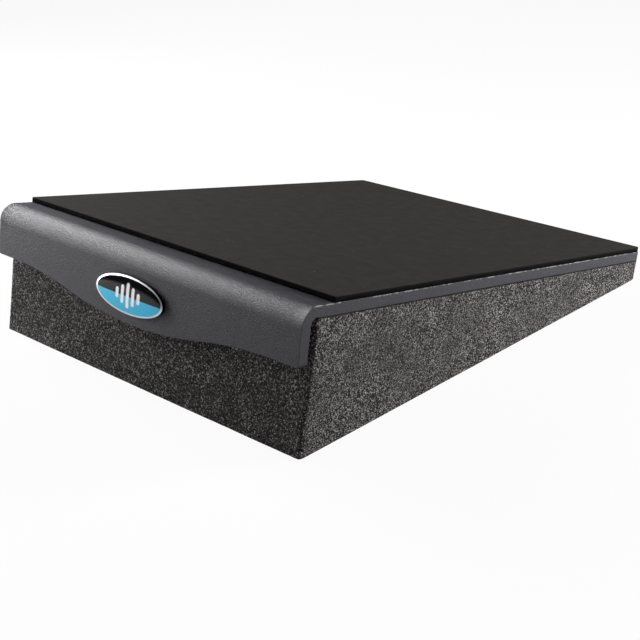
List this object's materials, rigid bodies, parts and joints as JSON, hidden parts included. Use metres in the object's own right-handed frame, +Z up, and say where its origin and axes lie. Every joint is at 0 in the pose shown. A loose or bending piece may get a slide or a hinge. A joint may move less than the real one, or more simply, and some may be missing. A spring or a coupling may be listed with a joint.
{
  "type": "speaker isolation pad",
  "caption": "Tilted pad that carries a loudspeaker: a foam wedge under a bent steel plate with a curved front lip, a non-slip mat on top and an oval badge.",
  "frame": {"origin": "centre of the foam's flat bottom, on the surface that the pad stands on", "axes": "+Z up, +Y back down the slope to the thin end, +X across the pad, so the lip and its badge face -Y"},
  "size_m": [0.26, 0.3555, 0.0819],
  "materials": {
    "foam": "matte",
    "powder_coat": "satin",
    "mat_rubber": "matte",
    "bezel_metal": "polished",
    "label_resin": "gloss"
  },
  "bodies": {
    "root": {"foam_base": "foam", "steel_plate": "powder_coat", "top_mat": "mat_rubber", "badge_bezel": "bezel_metal", "badge_label": "label_resin"}
  },
  "joints": []
}
